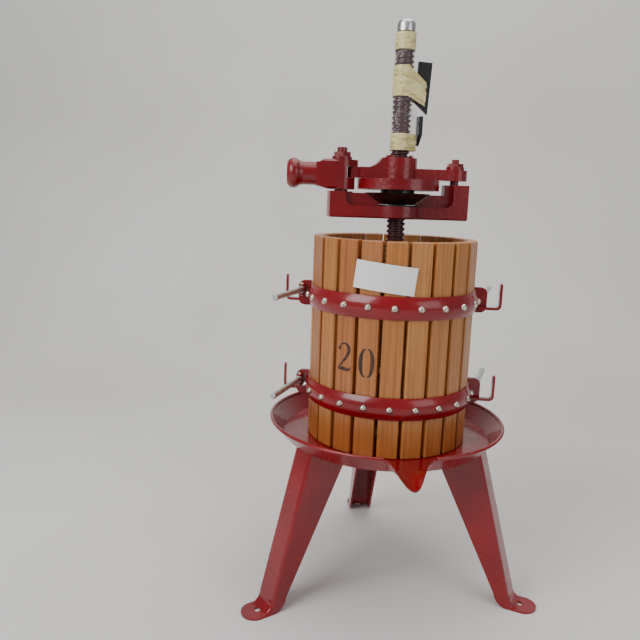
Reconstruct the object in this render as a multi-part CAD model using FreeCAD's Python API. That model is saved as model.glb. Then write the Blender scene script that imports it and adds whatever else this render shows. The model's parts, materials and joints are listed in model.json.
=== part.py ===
import FreeCAD, Part
import math
import os

# Ratchet basket press for fruit and grapes, on three sheet-steel legs.
# Millimetres. Origin on the ground under the screw, +Z up, the pouring spout towards -Y,
# the handle socket towards -X. Angles round the screw start at -Y and grow towards +X.

V = FreeCAD.Vector
UP = V(0, 0, 1)
ALONG_X = V(1, 0, 0)
ORIGIN = V(0, 0, 0)

# ---- clearances ----
gap = 0.3                     # between pieces that move past each other
running = 0.06                # radial, a pin or stud in its bore

# ---- tray ----
floor_z = 222.5               # top of the tray floor
tray_sheet = 2.0
tray_floor_r = 150.0
rim_r = 169.0                 # centre of the rolled rim
rim_rise = 21.5               # rim centre above the floor
rim_bead_r = 2.4
spout_reach = 31.0            # lip tip beyond the rim centre
spout_drop = 4.5              # lip tip below the floor
spout_half_angle = 11.5       # half the width of the lip's base

# ---- screw ----
screw_r = 13.0
screw_pitch = 7.0
thread_depth = 2.2
screw_top_z = 800.0
screw_end_len = 18.0          # bare domed end above the thread
screw_bottom_z = 189.0
base_nut_af = 41.0
base_nut_h = 12.0
base_plate_r = 62.0
base_plate_t = 5.0

# ---- legs ----
leg_angles = {"leg_front_left": -60.0, "leg_front_right": 60.0, "leg_rear": 180.0}
leg_w = 38.0
leg_sheet = 3.0
leg_bend_r = 4.5
leg_top_r = 146.0             # web line under the tray
leg_ankle_r = 201.0           # web line just above the foot
ankle_z = 18.7
leg_tab_r = 80.0              # inner end of the tab under the tray
heel_r = 180.0                # inner edge of the flanges just above the foot
foot_tip_r = 237.0
foot_hole_r = 5.0
foot_hole_at_r = 214.0
leg_bolt_at_r = 90.0
leg_bolt_spread = 8.0
leg_bolt_r = 4.0
leg_bolt_head_r = 8.0
leg_bolt_head_h = 3.5

# ---- basket ----
stave_count = 22
basket_r = 114.6              # outer faces of the staves
stave_t = 14.6
stave_w = 27.5
stave_len = 286.2
stave_chamfer = 1.2
basket_turn = -9.5            # the split line against the spout
hoop_levels = {"upper": 202.2, "lower": 68.9}    # band centres above the staves' bottom
hoop_h = 30.0
hoop_bulge = 4.3
hoop_sheet = 1.4
hoop_seat_r = 115.5
split_gap = 1.0
hoop_bolt_r = 2.5
hoop_bolt_head_r = 4.75
hoop_bolt_head_h = 4.0
hoop_nut_af = 9.0
hoop_nut_h = 3.0
ear_t = 2.5
ear_h = 36.0
ear_r = 134.5
ear_corner = 9.0
hook_w = 8.0
hook_t = 3.5
hook_tip_r = 154.0
hook_root_r = 121.6
hook_foot_drop = 11.0         # hook foot below the band centre
hook_tip_rise = 25.0          # hook tip above the band centre
lever_rise = 5.0              # lever centre above the band centre
lever_r = 4.0
lever_len = 100.0
lever_angle = 15.0            # outward from the tangent
eye_r = 4.6
eye_h = 10.0
latch_pin_r = 2.2
latch_pin_at_r = 129.5
lug_t = 2.5
label_w = 80.0
label_h = 36.0
label_t = 0.3
label_turn = -16.5            # centre of the label round the basket
label_tilt = 6.0
label_lift = 23.0             # label's centre above the upper band's top edge

# ---- press boards and blocks ----
board_r = 94.5
board_t = 22.0
board_hole_r = 26.0
block = 40.0
block_len = 140.0
block_offset = 40.0

# ---- head ----
yoke_bottom_z = 535.0
yoke_slab_h = 17.0
yoke_end_r = 98.5
yoke_half_w = 19.0
yoke_boss_r = 33.0
yoke_bore_r = screw_r + 1.5
ear_in_x = 64.5               # inner face of an end above the web
ear_front_x = 75.0            # inner edge of an end's front face
yoke_hollow_r = 10.0          # corner between an end and the slab
left_ear_h = 35.4
right_ear_h = 48.4
yoke_web_h = 34.0
yoke_web_half = 8.0
yoke_edge_round = 2.5
stud_x = 80.0
boss_r = 9.5
boss_h = 2.3
left_stud_r = 7.0
right_stud_r = 5.0
right_shoulder_r = 6.0
washer_hole_play = 0.2
thrust_r = 28.0
thrust_t = 2.0

# ---- nut wheel ----
wheel_r = 57.0
wheel_t = 14.0
wheel_slots = 12
slot_r_in = 32.5
slot_r_out = 51.5
slot_w = 9.0
nut_hub_r = 24.0
nut_cone_r = 46.0             # widest part of the bowl under the wheel
nut_cone_h = 15.5
nut_neck_h = 4.3              # between the wheel and the bowl
bowl_clearance = 1.0

# ---- rocker arm ----
arm_t = 14.6
arm_half_w = 15.0
arm_end_r = 17.0
arm_hub_r = 25.0
arm_hub_h = 28.4
arm_ring_r = 19.0
arm_ring_h = 3.4
arm_to_wheel = 1.0
arm_hole_r = screw_r + 1.2
arm_hole_play = 6.0           # how far the arm's centre swings to each side
tongue_half_w = 8.5
window_l = 18.4
window_w = 6.4

# ---- handle socket ----
drive_pin_arm = 17.0          # from the left stud to the drive pin
drive_pin_r = 3.0
lug_r = 16.0
lug_top_t = 8.7
lug_bottom_t = 15.9
lug_end_r = 5.5
socket_r = 15.6
socket_lip_r = 20.3
socket_mouth_x = -155.0
socket_lip_len = 19.0
socket_bore_r = 13.0
socket_bore_len = 52.0
handle_turn_limit = 30.0

# ---- transport wrap on the screw ----
film_t = 0.5
tape_t = 0.8
tape_lower_z = (628.0, 650.5)
tape_middle_z = (694.0, 737.0)
tape_upper_z = (759.0, 781.0)
pawl_w = 18.8
pawl_t = 5.0
pawl_len = 68.0
pawl_tip = 14.0
pawl_upper_z = 678.0
pawl_lower_z = 636.0
pawl_upper_x = 15.8
pawl_lower_x = 23.0
pawl_lean = 3.0

# ---- heights that follow ----
tray_under_z = floor_z - tray_sheet
rim_z = floor_z + rim_rise
stave_bottom_z = floor_z + gap
band_z = {level: stave_bottom_z + rise for level, rise in hoop_levels.items()}
board_z = floor_z + leg_bolt_head_h + gap
slab_top_z = yoke_bottom_z + yoke_slab_h
left_ear_z = yoke_bottom_z + left_ear_h
right_ear_z = yoke_bottom_z + right_ear_h
lug_z = left_ear_z + boss_h + gap
slot_z = lug_z + lug_bottom_t
arm_z = slot_z + 0.4
arm_top_z = arm_z + arm_t
slot_top_z = arm_top_z + 0.4
clevis_top_z = slot_top_z + lug_top_t
wheel_top_z = arm_z - arm_to_wheel
wheel_z = wheel_top_z - wheel_t
nut_bottom_z = slab_top_z + thrust_t + gap
socket_z = (lug_z + clevis_top_z) / 2.0
half_pitch_deg = 180.0 / stave_count


# ---- small helpers ----
def box(x0, x1, y0, y1, z0, z1):
    return Part.makeBox(x1 - x0, y1 - y0, z1 - z0, V(x0, y0, z0))


def rod(r, z0, z1, x=0.0, y=0.0):
    return Part.makeCylinder(r, z1 - z0, V(x, y, z0), UP)


def turned(shape, degrees, centre=ORIGIN, axis=UP):
    copy = shape.copy()
    copy.rotate(centre, axis, degrees)
    return copy


def moved(shape, x=0.0, y=0.0, z=0.0):
    copy = shape.copy()
    copy.translate(V(x, y, z))
    return copy


def hexagon(across_flats, z0, z1, x=0.0, y=0.0, hole_r=0.0, turn=0.0):
    corner = across_flats / math.sqrt(3.0)
    points = []
    for i in range(7):
        angle = math.radians(60.0 * i + turn)
        points.append(V(x + corner * math.cos(angle), y + corner * math.sin(angle), z0))
    prism = Part.Face(Part.makePolygon(points)).extrude(V(0, 0, z1 - z0))
    return prism.cut(rod(hole_r, z0 - 1, z1 + 1, x, y)) if hole_r else prism


def washer(r, hole_r, z0, z1, x=0.0):
    return rod(r, z0, z1, x).cut(rod(hole_r, z0 - 1, z1 + 1, x))


def side_profile(points):
    """A closed face in the XZ plane: (x, z) ends a straight run, (x, z, x, z) an arc, middle first."""
    edges = []
    last = V(points[0][0], 0, points[0][1])
    first = last
    for point in points[1:]:
        if len(point) == 2:
            here = V(point[0], 0, point[1])
            edges.append(Part.LineSegment(last, here).toShape())
        else:
            middle = V(point[0], 0, point[1])
            here = V(point[2], 0, point[3])
            edges.append(Part.Arc(last, middle, here).toShape())
        last = here
    if last.distanceToPoint(first) > 0.001:
        edges.append(Part.LineSegment(last, first).toShape())
    return Part.Face(Part.Wire(edges))


def slab_from(profile, half_width):
    """Extrude an XZ face to both sides of the XZ plane."""
    return moved(profile, y=-half_width).extrude(V(0, 2 * half_width, 0))


def revolved(profile, degrees=360.0):
    return profile.revolve(ORIGIN, UP, degrees)


def dome(r, height, z0, x=0.0, y=0.0):
    """A round bolt head: the cap of a ball, flat side down at z0."""
    ball_r = (r * r + height * height) / (2.0 * height)
    ball = Part.makeSphere(ball_r, V(x, y, z0 + height - ball_r))
    return ball.common(rod(r + 1.0, z0, z0 + height + 1.0, x, y))


def long_edges(shape, direction, least):
    """Straight edges along a direction that are at least so long."""
    found = []
    for edge in shape.Edges:
        if edge.Curve.TypeId != "Part::GeomLine" or edge.Length < least:
            continue
        if abs(edge.Curve.Direction.dot(direction)) > 0.999:
            found.append(edge)
    return found


def save(name, *shapes):
    """One STEP file per sub-part; several solids make a group of alike pieces."""
    solids = []
    for shape in shapes:
        solids += shape.Solids
    whole = solids[0] if len(solids) == 1 else Part.makeCompound(solids)
    whole.exportStep("parts/" + name + ".step")
    volume = sum(solid.Volume for solid in solids)
    print("%-22s %2d solids %12.1f mm3 %s" % (name, len(solids), volume, whole.isValid()))


# ---- base ----
def spout_edge(half_angle, steps=18):
    """The lip's top edge: swings out and down from the rim to the tip and back."""
    points = []
    for i in range(steps + 1):
        share = 2.0 * i / steps - 1.0
        bell = (1.0 + math.cos(math.pi * share)) / 2.0
        r = rim_r + spout_reach * bell ** 1.7
        z = rim_z + (floor_z - spout_drop - rim_z) * bell
        angle = math.radians(half_angle * share)
        points.append(V(r * math.sin(angle), -r * math.cos(angle), z))
    curve = Part.BSplineCurve()
    curve.interpolate(points)
    return curve.toShape()


def make_tray():
    floor = rod(tray_floor_r, tray_under_z, floor_z)
    wall = side_profile([(tray_floor_r, floor_z), (tray_floor_r, tray_under_z),
                         (rim_r, rim_z - tray_sheet), (rim_r, rim_z)])
    bead = Part.Face(Part.Wire(Part.makeCircle(rim_bead_r, V(rim_r, 0, rim_z), V(0, 1, 0))))
    start = spout_half_angle - 90.0
    sweep = 360.0 - 2 * spout_half_angle
    wall = turned(revolved(wall, sweep), start)
    bead = turned(revolved(bead, sweep), start)
    inner = Part.makeCircle(tray_floor_r, V(0, 0, floor_z), UP, -90 - spout_half_angle,
                            -90 + spout_half_angle)
    lip = Part.makeRuledSurface(inner, spout_edge(spout_half_angle))
    lip = lip.extrude(V(0, 0, -tray_sheet))
    tray = floor.fuse([wall, lip]).fuse(bead).removeSplitter()
    holes = [rod(screw_r + running, 0, floor_z + 1)]
    holes += [rod(leg_bolt_r + running, 0, floor_z + 1, x, y) for x, y in leg_bolt_places()]
    return tray.cut(holes)


def leg_bolt_places():
    places = []
    for angle in leg_angles.values():
        a = math.radians(angle)
        for side in (-leg_bolt_spread, leg_bolt_spread):
            x = leg_bolt_at_r * math.sin(a) + side * math.cos(a)
            y = -leg_bolt_at_r * math.cos(a) + side * math.sin(a)
            places.append((x, y))
    return places


def make_leg(angle):
    """A folded channel, open towards the screw, ending in a flat tongue on the ground."""
    top = tray_under_z
    tab_under = top - leg_sheet
    drop = (leg_ankle_r - leg_top_r) / (top - ankle_z)
    toe = ankle_z * drop + leg_ankle_r + 9.0
    outer = side_profile([(leg_tab_r, top), (leg_top_r, top), (leg_ankle_r, ankle_z),
                          (leg_ankle_r + 4.6, 8.0, toe, leg_sheet), (foot_tip_r, leg_sheet),
                          (foot_tip_r, 0), (heel_r + 18.0, 0), (heel_r + 7.0, 5.5, heel_r, ankle_z),
                          (leg_tab_r, tab_under - 3.0)])
    inner = side_profile([(leg_tab_r - 9.0, tab_under), (leg_top_r - leg_sheet + 0.8, tab_under),
                          (leg_ankle_r - leg_sheet, ankle_z),
                          (leg_ankle_r + 2.0, 5.6, toe - 1.5, 0.0), (toe - 1.5, -9.0),
                          (leg_tab_r - 9.0, -9.0)])
    leg = slab_from(outer, leg_w / 2)
    slope = V(leg_ankle_r - leg_top_r, 0, ankle_z - top).normalize()
    bends = long_edges(leg, slope, 150.0)
    bends += [edge for edge in leg.Edges if edge.Curve.TypeId == "Part::GeomCircle"
              and edge.CenterOfMass.x > leg_ankle_r]
    leg = leg.makeFillet(leg_bend_r, bends)
    leg = leg.cut(slab_from(inner, leg_w / 2 - leg_sheet))
    tip = foot_tip_r - leg_w / 2
    plan = box(leg_tab_r - 5, tip, -leg_w, leg_w, -1, top + 1)
    plan = plan.fuse(rod(leg_w / 2, -1, top + 1, tip))
    leg = leg.common(plan).cut(rod(foot_hole_r, -1, leg_sheet + 1, foot_hole_at_r))
    for side in (-leg_bolt_spread, leg_bolt_spread):
        leg = leg.cut(rod(leg_bolt_r + running, tab_under - 1, top + 1, leg_bolt_at_r, side))
    return turned(leg, angle - 90.0)


def make_leg_bolts():
    end_z = tray_under_z - leg_sheet - 8.0
    bolts = []
    nuts = []
    for x, y in leg_bolt_places():
        head = dome(leg_bolt_head_r, leg_bolt_head_h, floor_z, x, y)
        bolts.append(head.fuse(rod(leg_bolt_r, end_z, floor_z, x, y)))
        nuts.append(hexagon(13.0, end_z + 1.5, tray_under_z - leg_sheet, x, y, leg_bolt_r))
    return bolts, nuts


def make_screw():
    """Plain foot, ridged thread and a bare domed end. The ridges are rings, not a helix."""
    root = screw_r - thread_depth
    flank = thread_depth * 0.55
    land = screw_pitch / 2.0 - flank
    thread_z = floor_z + base_nut_h + 2.0
    thread_end = screw_top_z - screw_end_len
    outline = [(0.0, screw_bottom_z), (screw_r, screw_bottom_z), (screw_r, thread_z)]
    z = thread_z
    while z + 1.5 * screw_pitch < thread_end:
        outline += [(root, z + flank), (root, z + flank + land),
                    (screw_r, z + 2 * flank + land), (screw_r, z + screw_pitch)]
        z += screw_pitch
    end_r = screw_r - 0.4
    shoulder = screw_top_z - screw_end_len * 0.45
    outline += [(root, z + flank), (root, thread_end), (end_r, thread_end), (end_r, shoulder),
                (0.0, shoulder)]
    return revolved(side_profile(outline)).fuse(dome(end_r, screw_top_z - shoulder, shoulder))


def make_base():
    save("tray", make_tray())
    for name, angle in leg_angles.items():
        save(name, make_leg(angle))
    bolts, nuts = make_leg_bolts()
    save("leg_bolts", *bolts)
    save("leg_nuts", *nuts)
    plate_z = tray_under_z - base_plate_t
    save("base_plate", washer(base_plate_r, screw_r + running, plate_z, tray_under_z))
    save("screw_shaft", make_screw())
    save("screw_top_nut", hexagon(base_nut_af, floor_z, floor_z + base_nut_h, hole_r=screw_r))
    save("screw_bottom_nut", hexagon(base_nut_af, screw_bottom_z + 3.0, plate_z, hole_r=screw_r))


# ---- basket: the front half is made about -Y, the rear half is the same turned round ----
def make_stave(angle):
    inner_r = basket_r - stave_t
    stave = box(-stave_w / 2, stave_w / 2, -basket_r, -inner_r, stave_bottom_z,
                stave_bottom_z + stave_len)
    stave = stave.makeChamfer(stave_chamfer, stave.Edges)
    for z in band_z.values():
        hole = Part.makeCylinder(hoop_bolt_r + running, stave_t + 4, V(0, -basket_r - 2, z),
                                 V(0, 1, 0))
        stave = stave.cut(hole)
    return turned(stave, angle)


def half_stave_angles():
    count = stave_count // 2
    return [(i - (count - 1) / 2.0) * 2 * half_pitch_deg for i in range(count)]


def band_section(z):
    low, high = z - hoop_h / 2, z + hoop_h / 2
    edge_r = hoop_seat_r + hoop_sheet
    crown = edge_r + hoop_bulge
    return side_profile([(hoop_seat_r, low), (edge_r, low), (crown, z, edge_r, high),
                         (hoop_seat_r, high), (crown - 2 * hoop_sheet, z, hoop_seat_r, low)])


def ear_plate(z, side):
    """A rounded plate that stands out from the end of a band, at +X or -X."""
    half = ear_h / 2
    inside = hoop_seat_r + hoop_sheet * 0.7
    knee = ear_r - ear_corner
    turn = ear_corner * math.sqrt(0.5)
    plate = side_profile([(inside, z - half), (knee, z - half),
                          (knee + turn, z - half + ear_corner - turn, ear_r, z - half + ear_corner),
                          (ear_r, z + half - ear_corner),
                          (knee + turn, z + half - ear_corner + turn, knee, z + half),
                          (inside, z + half)])
    plate = moved(plate, y=-split_gap / 2).extrude(V(0, -ear_t, 0))
    return plate if side > 0 else plate.mirror(ORIGIN, ALONG_X)


def latch_pin_place():
    return -latch_pin_at_r, -split_gap / 2 - ear_t - eye_r - 0.4


def lug(z0):
    """A lug on the left ear that carries the lever's pin."""
    x, y = latch_pin_place()
    reach = eye_r + 0.4
    plate = box(x - reach, x + reach, y, -split_gap / 2 - ear_t, z0, z0 + lug_t)
    return plate.fuse(rod(reach, z0, z0 + lug_t, x, y))


def make_hoop(z):
    """Half a band, with a hinge ear at its left end and a hook ear at its right end."""
    trim = math.degrees(split_gap / 2 / hoop_seat_r)
    band = turned(revolved(band_section(z), 180.0 - 2 * trim), 180.0 + trim)
    x, y = latch_pin_place()
    eye_z = z + lever_rise - eye_h / 2
    lugs = [lug(eye_z - gap - lug_t), lug(eye_z + eye_h + gap)]
    hoop = band.fuse([ear_plate(z, 1), ear_plate(z, -1)] + lugs)
    hoop = hoop.cut(rod(latch_pin_r + 0.02, z - ear_h, z + ear_h, x, y))
    crown = hoop_seat_r + hoop_sheet + hoop_bulge
    holes = []
    for angle in half_stave_angles():
        hole = Part.makeCylinder(hoop_bolt_r + running, 12.0, V(0, -crown - 2, z), V(0, 1, 0))
        holes.append(turned(hole, angle))
    return hoop.cut(holes)


def lying(shape, angle, z):
    """Lay a piece made about +Z on its side, pointing outwards at an angle round the basket."""
    laid = turned(shape, 90.0, ORIGIN, ALONG_X)
    return moved(turned(laid, angle), z=z)


def make_hoop_bolts():
    crown = hoop_seat_r + hoop_sheet + hoop_bulge
    inner_r = basket_r - stave_t
    bolt = dome(hoop_bolt_head_r, hoop_bolt_head_h, crown)
    bolt = bolt.fuse(rod(hoop_bolt_r, inner_r - hoop_nut_h, crown))
    nut = hexagon(hoop_nut_af, inner_r - hoop_nut_h, inner_r, hole_r=hoop_bolt_r)
    bolts = []
    nuts = []
    for z in band_z.values():
        for angle in half_stave_angles():
            bolts.append(lying(bolt, angle, z))
            nuts.append(lying(nut, angle, z))
    return bolts, nuts


def make_hook(z):
    """A bent flat bar on the right ear: a foot straight out, then an upright with a round tip."""
    low = z - hook_foot_drop - hook_t / 2
    tip = z + hook_tip_rise
    bend = 2 * hook_t
    turn = bend * (1 - math.sqrt(0.5))
    inner = bend - hook_t
    inner_turn = inner * (1 - math.sqrt(0.5))
    face = side_profile([(hook_root_r, low), (hook_tip_r - bend, low),
                         (hook_tip_r - turn, low + turn, hook_tip_r, low + bend),
                         (hook_tip_r, tip), (hook_tip_r - hook_t, tip),
                         (hook_tip_r - hook_t, low + hook_t + inner),
                         (hook_tip_r - hook_t - inner_turn, low + hook_t + inner_turn,
                          hook_tip_r - hook_t - inner, low + hook_t),
                         (hook_root_r, low + hook_t)])
    front = -split_gap / 2 - ear_t
    hook = moved(face, y=front).extrude(V(0, -hook_w, 0))
    middle = front - hook_w / 2
    end = Part.makeCylinder(hook_w / 2, 4 * hook_t, V(hook_tip_r - 3 * hook_t, middle, tip - hook_w / 2),
                            ALONG_X)
    keep = box(0, hook_tip_r + 1, front - hook_w, front, low - 1, tip - hook_w / 2)
    return hook.common(keep.fuse(end))


def make_latch_pin(z):
    x, y = latch_pin_place()
    low = z + lever_rise - eye_h / 2 - gap - lug_t
    high = z + lever_rise + eye_h / 2 + gap + lug_t
    pin = rod(latch_pin_r, low - 1.5, high, x, y)
    return pin.fuse(dome(latch_pin_r + 1.3, 1.8, high, x, y))


def make_lever(z):
    """A round bar with an eye on the hinge pin, lying outwards of the band."""
    x, y = latch_pin_place()
    centre_z = z + lever_rise
    a = math.radians(lever_angle)
    along = V(-math.sin(a), -math.cos(a), 0)
    bar = Part.makeCylinder(lever_r, lever_len - 1.5, V(x, y, centre_z), along)
    end_at = V(x, y, centre_z) + along * (lever_len - 1.5)
    bar = bar.fuse(Part.makeCone(lever_r, lever_r - 1.2, 1.5, end_at, along))
    eye = rod(eye_r, centre_z - eye_h / 2, centre_z + eye_h / 2, x, y)
    bore = rod(latch_pin_r + running, centre_z - eye_h, centre_z + eye_h, x, y)
    return bar.fuse(eye).cut(bore)


def make_label():
    """A plain paper label bent round the staves, a little tilted."""
    r = hoop_seat_r + 0.9
    half = math.degrees(label_w / 2 / r)
    z = band_z["upper"] + hoop_h / 2 + label_lift
    sheet = side_profile([(r, z - label_h / 2), (r + label_t, z - label_h / 2),
                          (r + label_t, z + label_h / 2), (r, z + label_h / 2)])
    label = turned(revolved(sheet, 2 * half), -90.0 - half)
    label = turned(label, label_tilt, V(0, 0, z), V(0, 1, 0))
    return turned(label, label_turn)


def make_basket():
    staves = [make_stave(angle) for angle in half_stave_angles()]
    bolts, nuts = make_hoop_bolts()
    for half, turn in (("front", basket_turn), ("rear", basket_turn + 180.0)):
        save("staves_" + half, *[turned(piece, turn) for piece in staves])
        save("hoop_bolts_" + half, *[turned(piece, turn) for piece in bolts])
        save("hoop_nuts_" + half, *[turned(piece, turn) for piece in nuts])
        save("hooks_" + half, *[turned(make_hook(z), turn) for z in band_z.values()])
        save("latch_pins_" + half, *[turned(make_latch_pin(z), turn) for z in band_z.values()])
        side = "left" if half == "front" else "right"
        for level, z in band_z.items():
            save("hoop_" + level + "_" + half, turned(make_hoop(z), turn))
            save("lever_" + level + "_" + side, turned(make_lever(z), turn))
    save("blank_label", turned(make_label(), 0.0))


def make_press_stack():
    """Two half-round press boards and four hardwood blocks, stored inside the basket."""
    top = board_z + board_t
    disc = rod(board_r, board_z, top).cut(rod(board_hole_r, board_z - 1, top + 1))
    left = disc.common(box(-board_r - 1, -0.5, -board_r - 1, board_r + 1, board_z, top))
    save("press_board_left", left)
    save("press_board_right", turned(left, 180.0))
    near = block_offset - block / 2
    far = block_offset + block / 2
    lower = box(-block_len / 2, block_len / 2, near, far, top, top + block)
    upper = turned(moved(lower, z=block), 90.0)
    save("press_blocks_lower", lower, turned(lower, 180.0))
    save("press_blocks_upper", upper, turned(upper, 180.0))


# ---- head ----
def make_yoke():
    """A cast cross-beam: two solid ends, a round boss, and a thin web between hollow faces."""
    top = right_ear_z + 1
    web_top = yoke_bottom_z + yoke_web_h
    yoke = box(-yoke_end_r, yoke_end_r, -yoke_half_w, yoke_half_w, yoke_bottom_z, web_top)
    for inner, ear_top in ((-yoke_end_r, left_ear_z), (ear_in_x, right_ear_z)):
        yoke = yoke.fuse(box(inner, inner + yoke_end_r - ear_in_x, -yoke_half_w, yoke_half_w,
                             web_top - 1, ear_top))
    yoke = yoke.cut([hollow_face(-yoke_half_w - 1), hollow_face(yoke_web_half)])
    yoke = yoke.fuse(rod(yoke_boss_r, yoke_bottom_z, slab_top_z)).removeSplitter()
    yoke = yoke.common(rod(yoke_end_r, yoke_bottom_z, top))
    rims = [edge for edge in yoke.Edges if edge_is_at(edge, yoke_bottom_z)]
    yoke = yoke.makeFillet(yoke_edge_round, rims)
    yoke = yoke.fuse(rod(boss_r, left_ear_z - 1, left_ear_z + boss_h, -stud_x))
    bowl_z = wheel_z - nut_neck_h
    bowl = side_profile([(0.0, slab_top_z), (nut_hub_r + bowl_clearance, slab_top_z),
                         (nut_hub_r + bowl_clearance, bowl_z - nut_cone_h),
                         (nut_cone_r + bowl_clearance, bowl_z), (0.0, bowl_z)])
    washer_seat = rod(thrust_r + gap, slab_top_z, nut_bottom_z)
    yoke = yoke.cut([revolved(bowl), washer_seat, rod(yoke_bore_r, yoke_bottom_z - 1, top)])
    yoke = yoke.cut(rod(left_stud_r, yoke_bottom_z + 6, top, -stud_x))
    return yoke.cut(rod(right_shoulder_r, yoke_bottom_z + 6, top, stud_x))


def hollow_face(y):
    """The hollow in one face of the yoke, with round lower corners."""
    top = right_ear_z + 1
    r = yoke_hollow_r
    bend = r * (1 - math.sqrt(0.5))
    x, z = ear_front_x, slab_top_z
    profile = side_profile([(-x, top), (-x, z + r), (-x + bend, z + bend, -x + r, z), (x - r, z),
                            (x - bend, z + bend, x, z + r), (x, top)])
    return profile.extrude(V(0, yoke_half_w + 1 - yoke_web_half, 0)).translated(V(0, y, 0))


def edge_is_at(edge, z):
    box_of_edge = edge.BoundBox
    return abs(box_of_edge.ZMin - z) < 0.01 and abs(box_of_edge.ZMax - z) < 0.01


def make_head():
    save("yoke", make_yoke())
    save("thrust_washer", washer(thrust_r, yoke_bore_r, slab_top_z, slab_top_z + thrust_t))
    left_washer_z = clevis_top_z + gap
    left_nut_z = left_washer_z + 3.7
    save("left_stud", rod(left_stud_r, yoke_bottom_z + 6, left_nut_z + 12.4, -stud_x))
    save("left_washer", washer(14.0, left_stud_r + washer_hole_play, left_washer_z, left_nut_z, -stud_x))
    save("left_nut", hexagon(22.0, left_nut_z, left_nut_z + 6.0, -stud_x, 0, left_stud_r, 30.0))
    right_washer_z = arm_top_z + gap
    right_nut_z = right_washer_z + 4.6
    stud = rod(right_shoulder_r, yoke_bottom_z + 6, arm_z - gap, stud_x)
    stud = stud.fuse(rod(right_stud_r, arm_z - gap, right_nut_z + 10.0, stud_x))
    save("right_stud", stud)
    save("right_washer", washer(12.7, right_stud_r + washer_hole_play, right_washer_z, right_nut_z,
                                stud_x))
    save("right_nut", hexagon(20.0, right_nut_z, right_nut_z + 4.4, stud_x, 0, right_stud_r, 30.0))


def make_nut_wheel():
    """The press nut: a slotted wheel over a tapered hub that bears on the thrust washer."""
    bowl_z = wheel_z - nut_neck_h
    profile = side_profile([(screw_r + running, nut_bottom_z), (nut_hub_r, nut_bottom_z),
                            (nut_hub_r, bowl_z - nut_cone_h), (nut_cone_r, bowl_z),
                            (nut_hub_r, bowl_z), (nut_hub_r, wheel_z),
                            (wheel_r, wheel_z), (wheel_r, wheel_top_z),
                            (screw_r + running, wheel_top_z)])
    wheel = revolved(profile)
    slot = box(slot_r_in, slot_r_out, -slot_w / 2, slot_w / 2, wheel_z - 1, wheel_top_z + 1)
    cuts = [turned(slot, i * 360.0 / wheel_slots) for i in range(wheel_slots)]
    return wheel.cut(cuts)


def make_arm():
    """The rocker arm: a flat bar on the right stud, with a hub round the screw and a tongue."""
    bar = box(-stud_x + 24.0, stud_x, -arm_half_w, arm_half_w, arm_z, arm_top_z)
    bar = bar.fuse(rod(arm_end_r, arm_z, arm_top_z, stud_x))
    tongue_x = -stud_x + drive_pin_arm - 0.3
    tongue = box(tongue_x, -stud_x + 25.0, -tongue_half_w, tongue_half_w, arm_z, arm_top_z)
    tongue = tongue.fuse(rod(tongue_half_w, arm_z, arm_top_z, tongue_x))
    ring_z = arm_z + arm_hub_h
    hub = rod(arm_hub_r, arm_z, ring_z).fuse(rod(arm_ring_r, ring_z - 1, ring_z + arm_ring_h))
    rib_end = -arm_hub_r - 27.0
    rib = side_profile([(rib_end, arm_top_z - 1), (rib_end, arm_top_z),
                        (-arm_hub_r - 9.0, arm_top_z + 4.2, -arm_hub_r - 1.0, ring_z - 1.0),
                        (0.0, ring_z - 1.0), (0.0, arm_top_z - 1)])
    arm = bar.fuse([tongue, hub, slab_from(rib, 13.0)]).removeSplitter()
    top = ring_z + arm_ring_h + 1
    hole = box(-arm_hole_r, arm_hole_r, -arm_hole_play, arm_hole_play, arm_z - 1, top)
    for side in (-arm_hole_play, arm_hole_play):
        hole = hole.fuse(rod(arm_hole_r, arm_z - 1, top, 0.0, side))
    arm = arm.cut(hole)
    arm = arm.cut(rod(right_stud_r + running, arm_z - 1, top, stud_x))
    middle = (slot_r_in + slot_r_out) / 2
    for x in (-middle, middle):
        arm = arm.cut(box(x - window_l / 2, x + window_l / 2, -window_w / 2, window_w / 2,
                          arm_z - 1, top))
    play = drive_pin_r + gap
    pin_x = -stud_x + drive_pin_arm
    swing = math.radians(handle_turn_limit)
    pin_back = stud_x - math.hypot(2 * stud_x - drive_pin_arm * math.cos(swing),
                                   drive_pin_arm * math.sin(swing))
    slot = box(pin_back, pin_x, -play, play, arm_z - 1, arm_top_z + 1)
    for x in (pin_back, pin_x):
        slot = slot.fuse(rod(play, arm_z - 1, arm_top_z + 1, x))
    return arm.cut(slot)


def lug_plan(reach, z0, z1):
    """A lug round the left stud that narrows to a round end over the drive pin."""
    end_x = -stud_x + reach - lug_end_r
    distance = end_x + stud_x
    lean = math.asin((lug_r - lug_end_r) / distance)
    points = []
    for x, r in ((-stud_x, lug_r), (end_x, lug_end_r)):
        points.append((x + r * math.sin(lean), r * math.cos(lean)))
    outline = [V(points[0][0], points[0][1], z0), V(points[1][0], points[1][1], z0),
               V(points[1][0], -points[1][1], z0), V(points[0][0], -points[0][1], z0)]
    outline.append(outline[0])
    plate = Part.Face(Part.makePolygon(outline)).extrude(V(0, 0, z1 - z0))
    return plate.fuse([rod(lug_r, z0, z1, -stud_x), rod(lug_end_r, z0, z1, end_x)])


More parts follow.
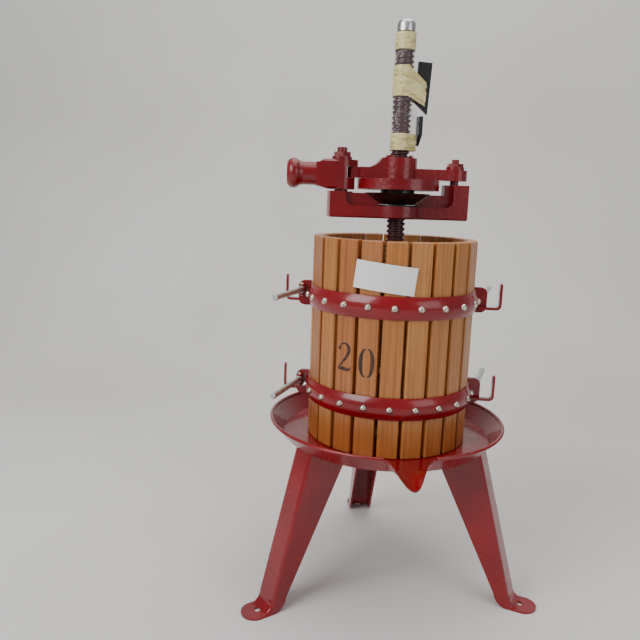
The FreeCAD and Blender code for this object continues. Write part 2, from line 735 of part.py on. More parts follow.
def make_handle_socket():
    """A forked casting on the left stud with a round socket for the handle bar."""
    upper = lug_plan(drive_pin_arm + lug_end_r, slot_top_z, clevis_top_z)
    lower = lug_plan(drive_pin_arm + lug_end_r, lug_z, slot_z)
    lower = lower.common(box(-2 * stud_x, -stud_x + 18.0, -lug_r - 1, lug_r + 1, lug_z, slot_z))
    back_x = -stud_x + 6.0
    root = rod(lug_r, lug_z, clevis_top_z, -stud_x)
    root = root.common(box(-2 * stud_x, back_x, -lug_r - 1, lug_r + 1, lug_z, clevis_top_z))
    neck_profile = side_profile([(-stud_x, lug_z), (-stud_x, clevis_top_z),
                                 (-stud_x - 25.0, clevis_top_z),
                                 (-stud_x - 32.0, socket_z + socket_r),
                                 (-stud_x - 36.0, socket_z + socket_r),
                                 (-stud_x - 36.0, socket_z - socket_r), (-stud_x - 19.0, lug_z)])
    neck = slab_from(neck_profile, lug_r - 0.4)
    neck = neck.common(Part.makeCylinder(lug_r + 7.0, 60.0, V(-stud_x - 50.0, 0, socket_z), ALONG_X))
    lip_x = socket_mouth_x + socket_lip_len
    profile = Part.Wire([
        Part.LineSegment(V(-stud_x - 12.0, 0, 0), V(socket_mouth_x, 0, 0)).toShape(),
        Part.LineSegment(V(socket_mouth_x, 0, 0), V(socket_mouth_x, 0, socket_r - 0.5)).toShape(),
        Part.Arc(V(socket_mouth_x, 0, socket_r - 0.5),
                 V(socket_mouth_x + 0.47 * socket_lip_len, 0, socket_lip_r),
                 V(lip_x - 3.0, 0, socket_r + 1.6)).toShape(),
        Part.LineSegment(V(lip_x - 3.0, 0, socket_r + 1.6), V(lip_x + 1.5, 0, socket_r)).toShape(),
        Part.LineSegment(V(lip_x + 1.5, 0, socket_r), V(-stud_x - 12.0, 0, socket_r)).toShape(),
        Part.LineSegment(V(-stud_x - 12.0, 0, socket_r), V(-stud_x - 12.0, 0, 0)).toShape()])
    tube = Part.Face(profile).revolve(ORIGIN, ALONG_X, 360.0)
    tube = moved(tube, z=socket_z)
    body = root.fuse([upper, lower, neck, tube]).removeSplitter()
    bore = Part.makeCylinder(socket_bore_r, socket_bore_len + 1, V(socket_mouth_x - 1, 0, socket_z),
                             ALONG_X)
    body = body.cut(bore)
    body = body.cut(box(back_x, 0, -lug_r - 9, lug_r + 9, slot_z, slot_top_z))
    body = body.cut(rod(left_stud_r + running, lug_z - 1, clevis_top_z + 1, -stud_x))
    pin_x = -stud_x + drive_pin_arm
    return body.cut(rod(drive_pin_r + 0.02, slot_top_z - 1, clevis_top_z + 1, pin_x))


def make_mechanism():
    save("nut_wheel", make_nut_wheel())
    save("rocker_arm", make_arm())
    save("handle_socket", make_handle_socket())
    save("drive_pin", rod(drive_pin_r, slot_z + 0.5, clevis_top_z, -stud_x + drive_pin_arm))


# ---- wrap: film and tape round the screw, holding the two loose pawls ----
def wrap_ring(inner_r, outer_r, z0, z1):
    return washer(outer_r, inner_r, z0, z1)


def bulged_tape(inner_r, reach, end_r, z0, z1):
    """A tape that goes round the screw and round a lump beside it, on the +X side."""
    outer_r = inner_r + tape_t
    lean = math.asin((outer_r - end_r) / reach)
    near = (outer_r * math.sin(lean), outer_r * math.cos(lean))
    far = (reach + end_r * math.sin(lean), end_r * math.cos(lean))
    outline = [V(near[0], near[1], z0), V(far[0], far[1], z0), V(far[0], -far[1], z0),
               V(near[0], -near[1], z0), V(near[0], near[1], z0)]
    lump = Part.Face(Part.makePolygon(outline)).extrude(V(0, 0, z1 - z0))
    lump = lump.fuse([rod(outer_r, z0, z1), rod(end_r, z0, z1, reach)])
    return lump.cut(rod(inner_r, z0 - 1, z1 + 1))


def make_pawl(x0, z0, thick_along_x):
    """A flat steel pawl with a wedge tip at its lower end."""
    half = pawl_t / 2
    face = side_profile([(0.0, z0 + pawl_tip), (pawl_w, z0), (pawl_w, z0 + pawl_len),
                         (0.0, z0 + pawl_len)])
    pawl = slab_from(face, half)
    if thick_along_x:
        pawl = moved(turned(moved(pawl, x=-pawl_w / 2), 90.0), x=half)
    return moved(pawl, x=x0)


def make_wrap():
    film_r = screw_r + 0.1
    film_out = film_r + film_t
    save("film_sleeve", wrap_ring(film_r, film_out, tape_lower_z[0] + 2, tape_upper_z[1] - 1))
    upper = make_pawl(pawl_upper_x, pawl_upper_z, False)
    upper = turned(upper, pawl_lean, V(pawl_upper_x, 0, pawl_upper_z), V(0, 1, 0))
    lower = make_pawl(pawl_lower_x, pawl_lower_z, True)
    lower = lower.common(box(0, 99, -99, 99, pawl_lower_z - 1, pawl_upper_z - 4))
    save("pawl_upper", upper)
    save("pawl_lower", lower)
    tape_r = film_out + 0.1
    save("tape_lower", bulged_tape(tape_r, 9.0, 13.4, *tape_lower_z))
    middle = bulged_tape(tape_r, 25.5, 7.5, *tape_middle_z)
    save("tape_middle", middle.cut(upper))
    save("tape_upper", wrap_ring(tape_r, tape_r + tape_t, *tape_upper_z))


os.makedirs("parts", exist_ok=True)
make_base()
make_basket()
make_press_stack()
make_head()
make_mechanism()
make_wrap()
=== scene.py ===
import json
import math

import bmesh
import bpy
from mathutils import Matrix, Vector, noise


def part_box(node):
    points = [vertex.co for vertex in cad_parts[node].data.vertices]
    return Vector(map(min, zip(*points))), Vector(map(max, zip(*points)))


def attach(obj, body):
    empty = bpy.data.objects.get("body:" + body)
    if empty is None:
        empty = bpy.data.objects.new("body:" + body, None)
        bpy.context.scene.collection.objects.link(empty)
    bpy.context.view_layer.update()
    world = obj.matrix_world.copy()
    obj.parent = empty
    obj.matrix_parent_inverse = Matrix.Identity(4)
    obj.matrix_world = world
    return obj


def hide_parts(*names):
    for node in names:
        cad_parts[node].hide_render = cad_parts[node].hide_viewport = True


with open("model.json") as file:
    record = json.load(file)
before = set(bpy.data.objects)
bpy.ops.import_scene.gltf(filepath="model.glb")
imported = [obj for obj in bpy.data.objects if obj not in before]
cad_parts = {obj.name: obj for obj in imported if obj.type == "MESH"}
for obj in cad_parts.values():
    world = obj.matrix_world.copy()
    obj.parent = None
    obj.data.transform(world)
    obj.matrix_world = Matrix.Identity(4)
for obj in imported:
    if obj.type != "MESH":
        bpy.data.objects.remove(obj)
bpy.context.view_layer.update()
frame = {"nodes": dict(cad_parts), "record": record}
NODES = frame["nodes"]

# ---- sizes in metres: from the frame, or the same driving sizes as the construction ----
SCREW_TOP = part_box("screw_shaft")[1].z
SCREW_R = 0.0130
SCREW_ROOT_R = 0.0108
SCREW_PITCH = 0.007
SCREW_END = 0.018             # bare end above the thread
THREAD_LOW = 0.2365            # the thread starts here, above the nut on the tray
WHEEL_T = 0.014                # the enamelled flange of the nut wheel
STAVE_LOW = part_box("staves_front")[0].z
STAVE_COUNT = 22
BASKET_TURN = math.radians(-9.5)   # the middle stave of the front half, from -Y towards +X
BASKET_R = 0.1146              # outer faces of the staves


# ---- materials ----
class Nodes:
    """A short way to wire shader nodes."""

    def __init__(self, name):
        self.material = bpy.data.materials.new(name)
        self.material.use_nodes = True
        self.tree = self.material.node_tree
        self.tree.nodes.clear()
        self.output = self.add("ShaderNodeOutputMaterial")
        self.shader = self.add("ShaderNodeBsdfPrincipled")
        self.link(self.shader.outputs[0], self.output.inputs[0])

    def add(self, kind, **settings):
        node = self.tree.nodes.new(kind)
        for key, value in settings.items():
            setattr(node, key, value)
        return node

    def link(self, start, end):
        self.tree.links.new(start, end)

    def set(self, **values):
        for key, value in values.items():
            self.shader.inputs[key.replace("_", " ")].default_value = value

    def place(self):
        return self.add("ShaderNodeTexCoord").outputs["Object"]

    def noise(self, vector, scale, detail=4.0, roughness=0.5, stretch=None, distortion=0.0):
        if stretch is not None:
            mapping = self.add("ShaderNodeMapping")
            mapping.inputs["Scale"].default_value = stretch
            self.link(vector, mapping.inputs["Vector"])
            vector = mapping.outputs[0]
        node = self.add("ShaderNodeTexNoise")
        node.inputs["Scale"].default_value = scale
        node.inputs["Detail"].default_value = detail
        node.inputs["Roughness"].default_value = roughness
        node.inputs["Distortion"].default_value = distortion
        self.link(vector, node.inputs["Vector"])
        return node.outputs["Fac"]

    def ramp(self, value, *stops):
        node = self.add("ShaderNodeValToRGB")
        elements = node.color_ramp.elements
        while len(elements) < len(stops):
            elements.new(0.5)
        for element, (position, colour) in zip(elements, stops):
            element.position = position
            element.color = (*colour, 1.0)
        self.link(value, node.inputs[0])
        return node.outputs[0]

    def mix(self, factor, first, second, blend="MIX"):
        node = self.add("ShaderNodeMix", data_type="RGBA", blend_type=blend)
        self.feed(factor, node.inputs[0])
        self.feed(first, node.inputs[6])
        self.feed(second, node.inputs[7])
        return node.outputs[2]

    def math(self, operation, first, second=0.0):
        node = self.add("ShaderNodeMath", operation=operation)
        self.feed(first, node.inputs[0])
        self.feed(second, node.inputs[1])
        return node.outputs[0]

    def remap(self, value, low, high, to_low, to_high):
        node = self.add("ShaderNodeMapRange")
        self.link(value, node.inputs[0])
        for index, number in enumerate((low, high, to_low, to_high), start=1):
            node.inputs[index].default_value = number
        return node.outputs[0]

    def feed(self, value, socket):
        if isinstance(value, (int, float)):
            socket.default_value = value
        elif isinstance(value, tuple):
            socket.default_value = (*value, 1.0)
        else:
            self.link(value, socket)

    def bump(self, height, strength, distance):
        node = self.add("ShaderNodeBump")
        node.inputs["Strength"].default_value = strength
        node.inputs["Distance"].default_value = distance
        self.link(height, node.inputs["Height"])
        self.link(node.outputs[0], self.shader.inputs["Normal"])


def enamel(name="red_enamel", colour=(0.225, 0.0014, 0.0062), cast=0.0):
    """Glossy red enamel: faint orange peel, soft tone changes; cast parts are a little rougher."""
    m = Nodes(name)
    place = m.place()
    tone = m.noise(place, 14.0, 2.0)
    darker = tuple(0.80 * c for c in colour)
    lighter = tuple(1.14 * c for c in colour)
    base = m.ramp(tone, (0.32, darker), (0.70, lighter))
    dust = m.noise(place, 240.0, 5.0, 0.7)
    base = m.mix(m.remap(dust, 0.66, 0.88, 0.0, 0.15), base, (0.24, 0.03, 0.03))
    m.link(base, m.shader.inputs["Base Color"])
    smear = m.noise(place, 38.0, 5.0, 0.6)
    low = 0.20 + 0.05 * cast
    m.link(m.remap(smear, 0.3, 0.75, low, low + 0.13), m.shader.inputs["Roughness"])
    m.set(Coat_Weight=0.35, Coat_Roughness=0.07 + 0.07 * cast,
          Specular_IOR_Level=0.42)
    peel = m.noise(place, 500.0, 2.0)
    wave = m.noise(place, 60.0 + 110.0 * cast, 3.0)
    height = m.math("ADD", m.math("MULTIPLY", peel, 0.25), wave)
    m.bump(height, 0.10 + 0.30 * cast, 0.0005 + 0.0011 * cast)
    return m.material


def nut_wheel_finish():
    """Red enamel on the wheel; the bowl and neck below it are near black, painted shade under the
    wheel over the bare hub.
    """
    material = enamel("nut_red", (0.190, 0.0008, 0.0048), cast=1.0)
    tree = material.node_tree
    shader = next(node for node in tree.nodes if node.type == "BSDF_PRINCIPLED")
    base = shader.inputs["Base Color"].links[0].from_socket
    place = tree.nodes.new("ShaderNodeTexCoord")
    split = tree.nodes.new("ShaderNodeSeparateXYZ")
    tree.links.new(place.outputs["Object"], split.inputs[0])
    # Height mask: 0 below the flange gives the painted shade, 1 above it gives the enamel.
    red = tree.nodes.new("ShaderNodeMapRange")
    wheel_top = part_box("nut_wheel")[1].z
    red.inputs[1].default_value = wheel_top - WHEEL_T - 0.0006
    red.inputs[2].default_value = wheel_top - WHEEL_T - 0.0001
    tree.links.new(split.outputs[2], red.inputs[0])
    mix = tree.nodes.new("ShaderNodeMix")
    mix.data_type = "RGBA"
    tree.links.new(red.outputs[0], mix.inputs[0])
    # Near-black colour below the flange: painted shade under the wheel, on the bare hub.
    mix.inputs[6].default_value = (0.016, 0.008, 0.008, 1.0)
    tree.links.new(base, mix.inputs[7])
    tree.links.new(mix.outputs[2], shader.inputs["Base Color"])
    return material


def stave_wood():
    """Varnished straight-grained wood with a different tone for each stave."""
    m = Nodes("stave_wood")
    place = m.place()
    split = m.add("ShaderNodeSeparateXYZ")
    m.link(place, split.inputs[0])
    around = m.math("ARCTAN2", split.outputs[0], m.math("MULTIPLY", split.outputs[1], -1.0))
    pitch = 2 * math.pi / STAVE_COUNT
    index = m.math("ROUND", m.math("DIVIDE", m.math("SUBTRACT", around, BASKET_TURN), pitch))
    chance = m.add("ShaderNodeTexWhiteNoise", noise_dimensions="1D")
    m.link(m.math("ADD", index, 31.7), chance.inputs["W"])
    tone = chance.outputs["Value"]
    offset = m.add("ShaderNodeVectorMath", operation="ADD")
    m.link(place, offset.inputs[0])
    m.link(chance.outputs["Color"], offset.inputs[1])
    local = offset.outputs[0]
    grain = m.noise(local, 1.0, 6.0, 0.62, stretch=(310.0, 310.0, 5.5), distortion=0.35)
    fine = m.noise(local, 1.0, 3.0, 0.5, stretch=(1500.0, 1500.0, 26.0))
    broad = m.noise(local, 1.0, 2.0, 0.5, stretch=(38.0, 38.0, 3.0))
    light = m.mix(tone, (0.60, 0.280, 0.075), (0.42, 0.135, 0.028))
    dark = m.mix(tone, (0.38, 0.135, 0.032), (0.24, 0.060, 0.012))
    base = m.mix(m.remap(grain, 0.36, 0.66, 0.0, 1.0), light, dark)
    base = m.mix(m.remap(broad, 0.35, 0.7, 0.0, 0.45), base, (0.40, 0.15, 0.036))
    base = m.mix(m.remap(fine, 0.54, 0.74, 0.0, 0.6), base, (0.12, 0.04, 0.014))
    foot = m.remap(split.outputs[2], STAVE_LOW, STAVE_LOW + 0.05, 0.55, 0.0)
    base = m.mix(foot, base, (0.40, 0.105, 0.018))
    m.link(base, m.shader.inputs["Base Color"])
    m.link(m.remap(grain, 0.3, 0.7, 0.34, 0.48), m.shader.inputs["Roughness"])
    m.set(Coat_Weight=0.25, Coat_Roughness=0.22)
    m.bump(m.math("ADD", grain, m.math("MULTIPLY", fine, 0.5)), 0.22, 0.0006)
    return m.material


def board_wood():
    m = Nodes("board_wood")
    place = m.place()
    grain = m.noise(place, 1.0, 6.0, 0.6, stretch=(14.0, 260.0, 260.0), distortion=0.4)
    m.link(m.ramp(grain, (0.35, (0.46, 0.27, 0.13)), (0.66, (0.28, 0.14, 0.06))),
           m.shader.inputs["Base Color"])
    m.set(Roughness=0.62)
    m.bump(grain, 0.3, 0.0006)
    return m.material


def metal(name, colour, roughness, wear=0.4):
    """Plated or bare steel with faint smears and pits."""
    m = Nodes(name)
    place = m.place()
    smear = m.noise(place, 130.0, 5.0, 0.65)
    darker = tuple(wear * c for c in colour)
    m.link(m.ramp(smear, (0.3, darker), (0.6, colour)), m.shader.inputs["Base Color"])
    m.link(m.remap(smear, 0.3, 0.7, roughness * 1.5, roughness * 0.8), m.shader.inputs["Roughness"])
    m.set(Metallic=1.0)
    m.bump(m.noise(place, 900.0, 2.0), 0.12, 0.0003)
    return m.material


def screw_paint():
    """Dark maroon paint on the thread; the end above it is bare bright steel."""
    m = Nodes("screw_maroon")
    place = m.place()
    split = m.add("ShaderNodeSeparateXYZ")
    m.link(place, split.inputs[0])
    bare = m.remap(split.outputs[2], SCREW_TOP - 0.0185, SCREW_TOP - 0.0175, 0.0, 1.0)
    blot = m.noise(place, 90.0, 5.0, 0.6)
    paint = m.ramp(blot, (0.3, (0.030, 0.006, 0.009)), (0.7, (0.075, 0.012, 0.018)))
    m.link(m.mix(bare, paint, (0.62, 0.62, 0.61)), m.shader.inputs["Base Color"])
    m.link(bare, m.shader.inputs["Metallic"])
    m.link(m.remap(blot, 0.3, 0.7, 0.42, 0.2), m.shader.inputs["Roughness"])
    m.bump(blot, 0.2, 0.0006)
    return m.material


def tape_paper():
    """Crepe masking tape: fine creases across the turn and a few folds, darker in the fold valleys
    and lighter on the crests as painted shade and light.
    """
    m = Nodes("tape")
    place = m.place()
    crepe = m.noise(place, 1.0, 3.0, 0.6, stretch=(260.0, 260.0, 1100.0))
    fold = m.noise(place, 1.0, 3.0, 0.55, stretch=(60.0, 60.0, 260.0), distortion=0.8)
    # Fold colour: darker brown in the valleys and pale on the crests, painted shade and painted
    # light.
    m.link(m.ramp(fold, (0.28, (0.34, 0.27, 0.08)), (0.47, (0.66, 0.57, 0.24)),
                  (0.72, (0.80, 0.74, 0.42))), m.shader.inputs["Base Color"])
    m.set(Roughness=0.42, Coat_Weight=0.2, Coat_Roughness=0.2)
    m.bump(m.math("ADD", m.math("MULTIPLY", crepe, 0.3), fold), 0.8, 0.0022)
    return m.material


def clear_film():
    """Stretch film: clear and glossy, milky grey where it folds, partly the film's own haze and
    partly painted highlight streaks.
    """
    m = Nodes("film")
    place = m.place()
    fold = m.noise(place, 1.0, 5.0, 0.62, stretch=(75.0, 75.0, 42.0), distortion=1.6)
    # Grey and more opaque along the folds: the film's haze together with painted highlight streaks.
    m.link(m.remap(fold, 0.53, 0.74, 0.05, 0.50), m.shader.inputs["Alpha"])
    m.set(Base_Color=(0.52, 0.49, 0.50, 1.0), Roughness=0.09, Coat_Weight=0.6)
    m.bump(fold, 1.0, 0.004)
    return m.material


def ink():
    """Dark brown stencil ink, thin where the grain shows through."""
    m = Nodes("ink")
    place = m.place()
    grain = m.noise(place, 1.0, 5.0, 0.6, stretch=(420.0, 420.0, 30.0))
    m.link(m.ramp(grain, (0.45, (0.030, 0.010, 0.006)), (0.72, (0.12, 0.040, 0.016))),
           m.shader.inputs["Base Color"])
    m.set(Roughness=0.45)
    m.bump(grain, 0.15, 0.0002)
    return m.material


def plain(name, colour, roughness, speckle=0.15, scale=300.0):
    m = Nodes(name)
    blot = m.noise(m.place(), scale, 4.0)
    darker = tuple((1.0 - speckle) * c for c in colour)
    m.link(m.ramp(blot, (0.35, darker), (0.65, colour)), m.shader.inputs["Base Color"])
    m.set(Roughness=roughness)
    m.bump(blot, 0.1, 0.0004)
    return m.material


MATERIALS = {
    "red_enamel": enamel(),
    "cast_red": enamel("cast_red", (0.190, 0.0008, 0.0048), cast=1.0),
    "nut_red": nut_wheel_finish(),
    "ink": ink(),
    "stave_wood": stave_wood(),
    "board_wood": board_wood(),
    "bolt_steel": metal("bolt_steel", (0.72, 0.66, 0.56), 0.24),
    "zinc": metal("zinc", (0.66, 0.67, 0.67), 0.36, 0.62),
    # dark steel for the thrust washer: painted shade in the gap between wheel and yoke
    "painted_shade_steel": metal("painted_shade_steel", (0.085, 0.075, 0.07), 0.4),
    "screw_maroon": screw_paint(),
    "paper": plain("paper", (0.80, 0.80, 0.79), 0.7, 0.05),
    "tape": tape_paper(),
    "film": clear_film(),
    "pawl_black": plain("pawl_black", (0.012, 0.012, 0.014), 0.36, 0.4, 120.0),
}


def dress_cad_nodes():
    """Every CAD node that shows takes the detailed material of its slot."""
    for part in frame["record"]["subparts"]:
        mesh = NODES[part["node"]].data
        mesh.materials.clear()
        mesh.materials.append(MATERIALS[part["material_slot"]])


dress_cad_nodes()


def dress(material, *names):
    """A different finish for some CAD nodes than their slot's."""
    for name in names:
        NODES[name].data.materials[0] = MATERIALS[material]


dress("cast_red", "yoke", "rocker_arm", "handle_socket", "left_nut", "left_washer", "right_nut",
      "right_washer", "left_stud", "right_stud")
# The thrust washer is darkened as painted shade in the gap under the wheel.
dress("painted_shade_steel", "thrust_washer")
dress("nut_red", "nut_wheel")


# ---- camera, floor and light ----
def make_camera():
    """A hand-held view from the front, a little to the left and slightly tilted."""
    distance, height, focal = 0.93405, 0.55515, 36.56
    yaw, pitch, roll, spin = (math.radians(a) for a in (6.2925, 10.3213, 1.9678, 11.613))
    forward = Vector((-math.sin(yaw) * math.cos(pitch), math.cos(yaw) * math.cos(pitch),
                      -math.sin(pitch)))
    right = Vector((math.cos(yaw), math.sin(yaw), 0.0))
    up = right.cross(forward)
    tilted_right = right * math.cos(roll) + up * math.sin(roll)
    tilted_up = up * math.cos(roll) - right * math.sin(roll)
    to_object = Matrix.Rotation(-spin, 3, "Z")
    axes = Matrix((to_object @ tilted_right, to_object @ tilted_up, to_object @ -forward))
    camera = bpy.data.objects.new("camera", bpy.data.cameras.new("camera"))
    camera.data.lens = focal
    camera.data.sensor_width = 36.0
    camera.data.clip_start = 0.02
    camera.matrix_world = axes.transposed().to_4x4()
    camera.location = to_object @ Vector((0.0, -distance, height))
    bpy.context.scene.collection.objects.link(camera)
    bpy.context.scene.camera = camera
    return to_object


def make_stage(to_object):
    """A seamless sweep: floor that curves up into a pale backdrop behind the object."""
    half_width, front, back, bend, top = 3.0, -2.2, 0.75, 0.9, 3.2
    line = [(front, 0.0), (back, 0.0)]
    for i in range(1, 17):
        angle = math.radians(90.0 * i / 16)
        line.append((back + bend * math.sin(angle), bend * (1 - math.cos(angle))))
    line.append((back + bend, top))
    mesh = bmesh.new()
    rows = [[mesh.verts.new(to_object @ Vector((x, y, z))) for x in (-half_width, half_width)]
            for y, z in line]
    for low, high in zip(rows, rows[1:]):
        mesh.faces.new((low[0], low[1], high[1], high[0]))
    sweep = new_object("backdrop", mesh, backdrop_paint(), smooth=True)


def backdrop_paint():
    m = Nodes("backdrop_paint")
    tone = m.noise(m.place(), 1.6, 2.0)
    m.link(m.ramp(tone, (0.3, (0.66, 0.65, 0.635)), (0.7, (0.72, 0.71, 0.695))),
           m.shader.inputs["Base Color"])
    m.set(Roughness=0.85)
    return m.material


def new_object(name, mesh, material, smooth=False):
    data = bpy.data.meshes.new(name)
    mesh.normal_update()
    mesh.to_mesh(data)
    mesh.free()
    data.materials.append(material)
    if smooth:
        for face in data.polygons:
            face.use_smooth = True
    piece = bpy.data.objects.new(name, data)
    bpy.context.scene.collection.objects.link(piece)
    return piece


def area_light(name, place, target, size, power, colour=(1.0, 1.0, 1.0)):
    data = bpy.data.lights.new(name, "AREA")
    data.shape = "RECTANGLE"
    data.size, data.size_y = size
    data.energy = power
    data.color = colour
    light = bpy.data.objects.new(name, data)
    light.location = place
    light.rotation_mode = "QUATERNION"
    light.rotation_quaternion = (Vector(target) - Vector(place)).to_track_quat("-Z", "Y")
    bpy.context.scene.collection.objects.link(light)


def make_lights():
    area_light("window_left", (-1.9, -1.3, 1.7), (0.0, 0.0, 0.4), (1.5, 1.7), 52.0)
    area_light("ceiling", (0.2, 0.1, 2.6), (0.0, 0.1, 0.3), (2.6, 2.2), 42.0, (1.0, 0.985, 0.96))
    area_light("front_fill", (1.6, -2.0, 1.1), (0.0, 0.0, 0.4), (1.4, 1.4), 12.0)
    world = bpy.data.worlds.new("room")
    world.use_nodes = True
    world.node_tree.nodes["Background"].inputs[0].default_value = (0.80, 0.80, 0.82, 1.0)
    world.node_tree.nodes["Background"].inputs[1].default_value = 0.34
    bpy.context.scene.world = world


# ---- screw ----
def ride_on(piece, body, slot, *replaced):
    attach(piece, body)
    if replaced:
        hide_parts(*replaced)


def revolve(mesh, profile, segments=48):
    """Adds a surface of revolution about Z; the profile is a list of (r, z), r = 0 at its ends."""
    rings = []
    for r, z in profile:
        if r == 0.0:
            rings.append([mesh.verts.new((0.0, 0.0, z))] * segments)
        else:
            turn = [2 * math.pi * i / segments for i in range(segments)]
            rings.append([mesh.verts.new((r * math.cos(a), r * math.sin(a), z)) for a in turn])
    for low, high in zip(rings, rings[1:]):
        for i in range(segments):
            j = (i + 1) % segments
            corners = [low[i], low[j], high[j], high[i]]
            mesh.faces.new(list(dict.fromkeys(corners)))


def make_screw():
    """A right-hand trapezoidal thread as a true helix, with a plain foot and a domed bare end."""
    segments = 48
    flank = 0.17 * SCREW_PITCH
    land = 0.33 * SCREW_PITCH
    section = [(SCREW_ROOT_R, 0.0), (SCREW_ROOT_R, land), (SCREW_R, land + flank),
               (SCREW_R, 2 * land + flank)]
    thread_top = SCREW_TOP - SCREW_END
    turns = int((thread_top - THREAD_LOW) / SCREW_PITCH) - 1
    mesh = bmesh.new()
    columns = []
    for i in range((turns + 1) * segments + 1):
        angle = 2 * math.pi * i / segments
        z = THREAD_LOW + SCREW_PITCH * i / segments
        columns.append([mesh.verts.new((r * math.cos(angle), r * math.sin(angle), z + lift))
                        for r, lift in section])
    for i in range(turns * segments):
        here = columns[i] + [columns[i + segments][0]]
        there = columns[i + 1] + [columns[i + 1 + segments][0]]
        for k in range(len(section)):
            mesh.faces.new((here[k], there[k], there[k + 1], here[k + 1]))
    loose = [vertex for vertex in mesh.verts if not vertex.link_faces]
    bmesh.ops.delete(mesh, geom=loose, context="VERTS")
    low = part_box("screw_shaft")[0].z
    foot_top = THREAD_LOW + 1.2 * SCREW_PITCH
    revolve(mesh, [(0.0, low), (SCREW_R - 0.001, low), (SCREW_R, low + 0.001), (SCREW_R, foot_top),
                   (SCREW_ROOT_R, foot_top + 0.001), (0.0, foot_top + 0.001)])
    end_r = SCREW_R - 0.0004
    rise = 0.45 * SCREW_END
    profile = [(0.0, thread_top - 0.012), (SCREW_ROOT_R, thread_top - 0.012),
               (SCREW_ROOT_R, thread_top), (end_r - 0.0006, thread_top),
               (end_r, thread_top + 0.0006), (end_r, SCREW_TOP - rise)]
    for i in range(1, 9):
        angle = math.pi / 2 * i / 8
        r = end_r * math.cos(angle) if i < 8 else 0.0
        profile.append((r, SCREW_TOP - rise + rise * math.sin(angle)))
    revolve(mesh, profile)
    screw = new_object("screw_thread", mesh, MATERIALS["screw_maroon"], smooth=True)
    mark_sharp(screw, 28.0)
    ride_on(screw, "base", "screw_maroon", "screw_shaft")


def mark_sharp(piece, degrees):
    """Shades smooth, with sharp edges where faces meet at more than the angle."""
    mesh = bmesh.new()
    mesh.from_mesh(piece.data)
    for edge in mesh.edges:
        if len(edge.link_faces) == 2 and edge.calc_face_angle() > math.radians(degrees):
            edge.smooth = False
    mesh.to_mesh(piece.data)
    mesh.free()


# ---- wrap on the screw ----
def wrap_outline(normal_angle, r, side_x, side_r):
    """A point on the taut outline round the screw and whatever stands beside it towards +X."""
    nx, ny = math.cos(normal_angle), math.sin(normal_angle)
    if side_x * nx + side_r > r:
        return side_x + side_r * nx, side_r * ny
    return r * nx, r * ny


def crease(angle, z, seed, size):
    """Soft creases that run mostly round the wrap."""
    spot = Vector((2.2 * math.cos(angle), 2.2 * math.sin(angle), z * 190.0 + seed))
    return size * (noise.noise(spot) + 0.5 * noise.noise(spot * 2.3))


def make_band(name, material, low, high, reach, wrinkle, seed, drop=None):
    """A closed sleeve round the screw from low to high; reach(z) gives r, side_x and side_r."""
    segments, rows, inner_r = 96, max(6, int((high - low) / 0.0016)), SCREW_R + 0.0003
    mesh = bmesh.new()
    rings = []
    levels = [low] + [low + (high - low) * i / rows for i in range(rows + 1)] + [high]
    for row, z in enumerate(levels):
        edge = row in (0, len(levels) - 1)
        r, side_x, side_r = reach(z)
        ring = []
        for i in range(segments):
            angle = 2 * math.pi * i / segments
            puff = 0.0 if edge else crease(angle, z, seed, wrinkle)
            thin = 0.0007 if edge else 0.0
            x, y = wrap_outline(angle, r - thin + puff, side_x, side_r - thin + puff)
            if x * x + y * y < inner_r * inner_r:
                scale = inner_r / math.hypot(x, y)
                x, y = x * scale, y * scale
            sink = drop(x, (z - low) / (high - low)) if drop else 0.0
            ring.append(mesh.verts.new((x, y, z - sink)))
        rings.append(ring)
    for below, above in zip(rings, rings[1:]):
        for i in range(segments):
            j = (i + 1) % segments
            mesh.faces.new((below[i], below[j], above[j], above[i]))
    piece = new_object(name, mesh, MATERIALS[material], smooth=True)
    solid = piece.modifiers.new("thick", "SOLIDIFY")
    solid.thickness = 0.0002
    solid.offset = -1.0
    return piece


def make_wrap():
    """Clear film over the thread, three turns of crepe tape, one of them slung over the pawl."""
    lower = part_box("tape_lower")
    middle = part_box("tape_middle")
    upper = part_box("tape_upper")
    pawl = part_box("pawl_upper")
    turn_r = SCREW_R + 0.0013
    low_side = lower[1].x - 0.0062

    piece = make_band("tape_low_turn", "tape", lower[0].z, lower[1].z,
                      lambda z: (turn_r, low_side, 0.006), 0.0006, 3.0)
    ride_on(piece, "base", "tape", "tape_lower")
    piece = make_band("tape_top_turn", "tape", upper[0].z, upper[1].z,
                      lambda z: (turn_r - 0.0002, 0.0, 0.0), 0.0006, 11.0)
    ride_on(piece, "base", "tape", "tape_upper")

    side_x = middle[1].x - 0.0034

    def sling(x, share):
        return max(0.0, x - SCREW_R) * (0.65 + 0.45 * share)

    piece = make_band("tape_pawl_turn", "tape", middle[0].z + 0.005, middle[1].z + 0.002,
                      lambda z: (turn_r, side_x, 0.0032), 0.0009, 23.0, sling)
    ride_on(piece, "base", "tape", "tape_middle")

    def film_reach(z):
        bulge = math.exp(-((z - 0.667) / 0.022) ** 2)
        return SCREW_R + 0.0007, 0.004 + 0.0135 * bulge, 0.0080

    piece = make_band("film_turns", "film", lower[1].z - 0.002, upper[0].z + 0.002, film_reach,
                      0.0005, 37.0)
    ride_on(piece, "base", "film", "film_sleeve")


# ---- size number on the staves ----
def stave_place(index, sideways, height, proud):
    """A point on a stave's outer face: metres sideways to its centre line, up, and off it."""
    angle = BASKET_TURN + index * 2 * math.pi / STAVE_COUNT
    out = Vector((math.sin(angle), -math.cos(angle), 0.0))
    along = Vector((math.cos(angle), math.sin(angle), 0.0))
    return out * (BASKET_R + proud) + along * sideways + Vector((0.0, 0.0, height))


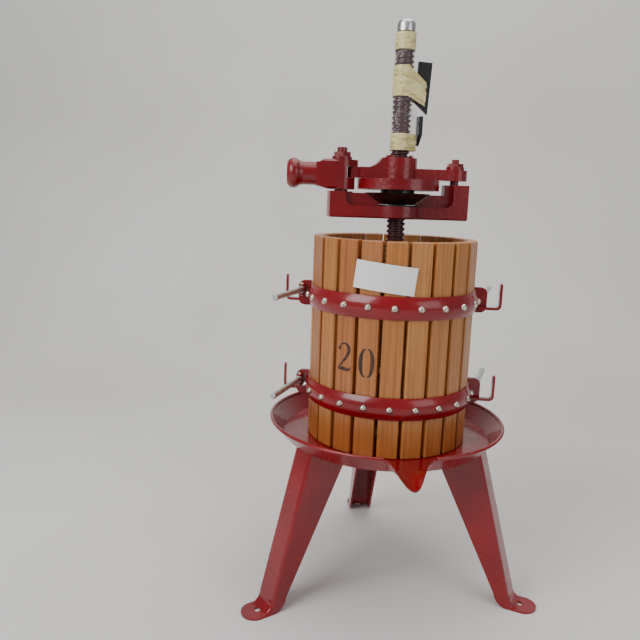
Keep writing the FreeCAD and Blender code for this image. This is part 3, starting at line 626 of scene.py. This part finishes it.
def smooth_path(points, steps=10):
    """Catmull-Rom through points of any length, such as (x, z, width)."""
    ends = [points[0]] + points + [points[-1]]
    path = []
    for a, b, c, d in zip(ends, ends[1:], ends[2:], ends[3:]):
        for i in range(steps):
            t = i / steps
            path.append(tuple(0.5 * (2 * q + (r - p) * t + (2 * p - 5 * q + 4 * r - s) * t * t
                                     + (3 * q - p - 3 * r + s) * t ** 3)
                              for p, q, r, s in zip(a, b, c, d)))
    path.append(tuple(points[-1]))
    return path


def stroke(mesh, index, middle_z, points):
    """A brush stroke of varying width on a stave, in millimetres from the digit's centre."""
    path = smooth_path(points)
    rows = []
    for i, (x, z, width) in enumerate(path):
        ahead, behind = path[min(i + 1, len(path) - 1)], path[max(i - 1, 0)]
        dx, dz = ahead[0] - behind[0], ahead[1] - behind[1]
        size = math.hypot(dx, dz)
        nx, nz = -dz / size * width / 2, dx / size * width / 2
        row = []
        for side, proud in ((1, 0.00025), (-1, 0.00025), (-1, -0.0002), (1, -0.0002)):
            row.append(mesh.verts.new(stave_place(index, (x + side * nx) / 1000.0,
                                                  middle_z + (z + side * nz) / 1000.0, proud)))
        rows.append(row)
    for here, there in zip(rows, rows[1:]):
        for k in range(4):
            mesh.faces.new((here[k], here[(k + 1) % 4], there[(k + 1) % 4], there[k]))
    mesh.faces.new(rows[0])
    mesh.faces.new(rows[-1][::-1])


def make_number():
    """The size number 20, stencilled on two staves with the bridges of a stencil."""
    mesh = bmesh.new()
    two_z, nought_z = 0.3545, 0.3505
    stroke(mesh, -2, two_z, [(-7.6, 9.0, 2.0), (-7.2, 11.5, 4.6), (-5.6, 12.6, 4.4)])
    stroke(mesh, -2, two_z, [(-7.0, 13.4, 1.4), (-3.5, 17.4, 2.0), (2.0, 18.0, 2.6), (6.6, 14.0, 4.6),
                             (7.3, 8.6, 5.2), (4.2, 1.6, 4.4), (-0.6, -5.2, 3.0), (-5.4, -11.0, 2.0),
                             (-8.2, -15.0, 1.6)])
    stroke(mesh, -2, two_z, [(-9.0, -16.6, 3.4), (-3.0, -15.8, 4.4), (3.0, -16.6, 5.0),
                             (8.4, -16.2, 3.2)])
    stroke(mesh, -2, two_z, [(8.8, -17.0, 2.4), (9.8, -12.6, 1.4)])
    for side in (-1, 1):
        stroke(mesh, -1, nought_z, [(side * 1.4, 18.6, 1.4), (side * 5.0, 16.4, 2.8),
                                    (side * 7.6, 8.6, 4.8), (side * 8.1, 0.0, 5.4),
                                    (side * 7.6, -8.6, 4.8), (side * 5.0, -16.4, 2.8),
                                    (side * 1.4, -18.6, 1.4)])
    bmesh.ops.recalc_face_normals(mesh, faces=mesh.faces)
    number = new_object("size_number", mesh, MATERIALS["ink"])
    ride_on(number, "basket_front", "pawl_black")


make_stage(make_camera())
make_lights()
make_screw()
make_wrap()
make_number()
